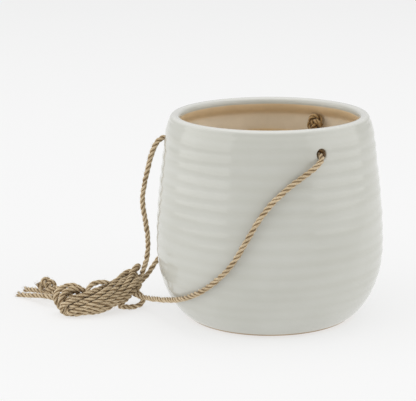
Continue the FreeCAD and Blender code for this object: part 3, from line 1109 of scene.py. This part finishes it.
def hole_columns(bearing):
    """The first and last column of the part of the wall that a hole's faces replace."""
    middle = math.floor(math.radians(bearing) / (2 * math.pi) * COLUMNS)
    return middle - HOLE_COLUMNS, middle + HOLE_COLUMNS + 1


def skin_rows(pot, tables, band):
    """Faces between the rows, except where the holes are."""
    open_cells = set()
    for bearing in (LEFT, FRONT, BACK):
        first, last = hole_columns(bearing)
        for table in tables:
            band_rows = [table[height] for height in band]
            for row in range(min(band_rows), max(band_rows)):
                open_cells.update((row, column % COLUMNS) for column in range(first, last))
    for row in range(len(pot.row_slots) - 1):
        pair = pot.row_slots[row], pot.row_slots[row + 1]
        slot = "inside" if pair == ("glaze", "inside") else pair[0]
        for column in range(COLUMNS):
            if (row, column) not in open_cells:
                low = grid(row, column), grid(row, column + 1)
                high = grid(row + 1, column + 1), grid(row + 1, column)
                pot.add_face((*low, *high), slot)


def opening_loop(table, band, first, last):
    """The rows and columns round the opening that a hole leaves in one of the pot's walls."""
    bottom, top = table[band[0]], table[band[-1]]
    step = 1 if top > bottom else -1
    ring = [(bottom, column) for column in range(first, last)]
    ring += [(row, last) for row in range(bottom, top, step)]
    ring += [(top, column) for column in range(last, first, -1)]
    ring += [(row, first) for row in range(top, bottom, -step)]
    return ring


def add_hole_side(pot, rows, ring, bearing, surface, slot):
    """Faces from the opening in one wall to the hole's rim, and over its rounded edge into the bore."""
    flip = slot == "inside"
    angle = math.radians(bearing)
    loop = [grid(row, column) for row, column in ring]
    places = rows[loop]
    radius = float(np.hypot(places[:, 0], places[:, 1]).mean())
    turn = np.array([column for _, column in ring]) * 2 * math.pi / COLUMNS - angle
    u = turn * radius
    v = places[:, 2] - HOLE_HEIGHT
    side = np.arctan2(v, u)
    inward = np.array([-math.cos(angle), -math.sin(angle), 0.0]) * (-1 if flip else 1)
    rim = HOLE_RADIUS + HOLE_EDGE
    for share in HOLE_SHARES:
        across = u * (1 - share) + rim * np.cos(side) * share
        up = v * (1 - share) + rim * np.sin(side) * share
        points = surface(angle + across / radius, HOLE_HEIGHT + up)
        following = pot.add_points(points, 0.5 + 0.4 * share)
        pot.join(loop, following, slot, flip)
        loop = following
    for bend in HOLE_BENDS:
        size = HOLE_RADIUS + HOLE_EDGE * (1 - math.sin(math.radians(bend)))
        points = surface(angle + size * np.cos(side) / radius, HOLE_HEIGHT + size * np.sin(side))
        depth = HOLE_EDGE * (1 - math.cos(math.radians(bend)))
        following = pot.add_points(points + inward * depth, 0.9)
        pot.join(loop, following, slot, flip)
        loop = following
    return loop


def add_holes(pot, tables, band):
    """The three rope holes, each with a side in either wall and a bore of dark bare clay between them,
    which paints the shade inside the hole.
    """
    rows = np.concatenate(pot.points)
    for bearing in (LEFT, FRONT, BACK):
        ends = []
        for table, surface, slot in zip(tables, (outside, inside), ("glaze", "inside")):
            ring = opening_loop(table, band, *hole_columns(bearing))
            ends.append(add_hole_side(pot, rows, ring, bearing, surface, slot))
        # The bore's dark clay is painted shade as well as bare clay.
        pot.join(*ends, "foot", False)


def close_ends(pot):
    """The middles of the underside and of the floor."""
    below = pot.add_points(np.array([[0.0, 0.0, RECESS_HEIGHT]]), 0.5)[0]
    above = pot.add_points(np.array([[0.0, 0.0, FLOOR_TOP]]), 0.5)[0]
    last = len(pot.row_slots) - 1
    for column in range(COLUMNS):
        pot.add_face((below, grid(0, column + 1), grid(0, column)), "foot")
        pot.add_face((above, grid(last, column), grid(last, column + 1)), "inside")


def make_pot():
    """The whole pot."""
    surface = PotMesh()
    tables = add_rows(surface)
    band = [height for height in sorted(tables[0]) if abs(height - HOLE_HEIGHT) <= HOLE_REACH]
    skin_rows(surface, tables, band)
    add_holes(surface, tables, band)
    close_ends(surface)
    pot = surface.build("stoneware_pot")
    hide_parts("pot")
    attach(pot, "root")


make_pot()

# ------------ floor and light


WORLD_LEVEL = 0.62
FLOOR_HALF = 12.0
FLOOR_TONE = (0.3, 0.3, 0.3, 1.0)
FLOOR_GLOW = 0.64


def make_floor():
    """A wide pale floor, which glows a little so that it stays near white."""
    mesh = bpy.data.meshes.new("floor")
    corners = [(-1, -1), (1, -1), (1, 1), (-1, 1)]
    mesh.from_pydata([(x * FLOOR_HALF, y * FLOOR_HALF, 0) for x, y in corners], [], [(0, 1, 2, 3)])
    floor = add_object("floor", mesh)
    material, _, shader = new_material("studio_floor")
    shader.inputs["Base Color"].default_value = FLOOR_TONE
    shader.inputs["Roughness"].default_value = 1.0
    shader.inputs["Specular IOR Level"].default_value = 0.0
    shader.inputs["Emission Color"].default_value = (1.0, 1.0, 1.0, 1.0)
    shader.inputs["Emission Strength"].default_value = FLOOR_GLOW
    mesh.materials.append(material)


def area_light(name, location, target, width, height, level):
    """A soft rectangular light, as bright as level times a white sheet in full light."""
    data = bpy.data.lights.new(name, "AREA")
    data.shape = "RECTANGLE"
    data.size = width
    data.size_y = height
    data.energy = level * math.pi * width * height
    light = add_object(name, data)
    light.location = location
    way = Vector(target) - Vector(location)
    light.rotation_euler = way.to_track_quat("-Z", "Y").to_euler()
    light.visible_camera = False


def panel(name, bearing, distance, width, height, level):
    """A tall soft panel that stands on the floor, bearing degrees to the left of the camera's side."""
    turn = math.radians(bearing)
    x = -math.sin(turn) * distance
    y = -math.cos(turn) * distance
    area_light(name, (x, y, height / 2), (0.0, 0.0, height / 2), width, height, level)


make_floor()
panel("panel_left", 76, 2.5, 3.4, 2.6, 1.15)
panel("panel_right", -78, 2.5, 3.4, 2.6, 0.95)
area_light("panel_top", (0.0, 0.0, 2.6), (0, 0, 0.0), 2.6, 2.6, 0.8)
world = bpy.data.worlds.new("studio")
world.use_nodes = True
world.node_tree.nodes["Background"].inputs[0].default_value = (1.0, 1.0, 1.0, 1.0)
world.node_tree.nodes["Background"].inputs[1].default_value = WORLD_LEVEL
bpy.context.scene.world = world
bpy.context.scene.view_settings.view_transform = "Standard"
